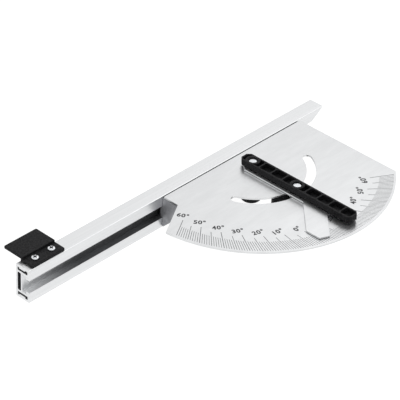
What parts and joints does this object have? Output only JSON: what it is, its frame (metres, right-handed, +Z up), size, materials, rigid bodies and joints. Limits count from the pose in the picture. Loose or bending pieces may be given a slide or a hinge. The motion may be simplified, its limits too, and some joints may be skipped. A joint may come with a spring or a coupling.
{
  "type": "guide rail angle stop",
  "caption": "Long T-groove fence with a sheet protractor plate, a swinging ribbed guide bar with pointer and clamp knob, and an end clip with a tongue.",
  "frame": {"origin": "on the fence's working face, half-way up it, in line with the bar's pivot along the fence", "axes": "+X along the fence toward its slanted end, +Y out of the working face toward the workpiece, +Z up"},
  "size_m": [0.4, 0.2022, 0.0445],
  "materials": {
    "fence_aluminium": "clear anodised, satin",
    "plate_sheet": "clear anodised sheet, satin",
    "cast_aluminium": "grey, as cast",
    "black_nylon": "fine moulded grain",
    "zinc_steel": "bright zinc plate"
  },
  "bodies": {
    "protractor": {"protractor_plate": "plate_sheet", "bracket_nut_1": "zinc_steel", "bracket_nut_2": "zinc_steel", "bracket_nut_3": "zinc_steel", "bracket_nut_4": "zinc_steel", "plate_bracket": "cast_aluminium", "slot_screw_left": "zinc_steel", "slot_washer_left": "zinc_steel", "slot_nut_left": "zinc_steel", "slot_screw_right": "zinc_steel", "slot_washer_right": "zinc_steel", "slot_nut_right": "zinc_steel", "pivot_bolt": "zinc_steel", "pivot_washer": "zinc_steel", "pivot_nut": "zinc_steel", "pivot_foot": "black_nylon"},
    "fence": {"fence_extrusion": "fence_aluminium", "end_clip": "black_nylon", "clip_screw_left": "zinc_steel", "clip_screw_right": "zinc_steel"},
    "swing": {"pointer_plate": "plate_sheet", "guide_bar": "black_nylon", "clamp_bolt": "zinc_steel", "clamp_washer": "zinc_steel"},
    "knob": {"clamp_knob": "black_nylon", "knob_insert": "zinc_steel"}
  },
  "joints": [
    {"name": "fence_slide", "type": "slide", "parent": "protractor", "child": "fence", "axis": [1, 0, 0], "range_m": [-0.03, 0.15]},
    {"name": "bar_swivel", "type": "hinge", "parent": "protractor", "child": "swing", "pos_m": [0, -0.0428, 0.018], "axis": [0, 0, 1], "range_deg": [-60, 60]},
    {"name": "knob_turn", "type": "hinge", "parent": "swing", "child": "knob", "pos_m": [0, -0.0993, 0.018], "axis": [0, 0, 1], "range_deg": [0, 360]}
  ]
}
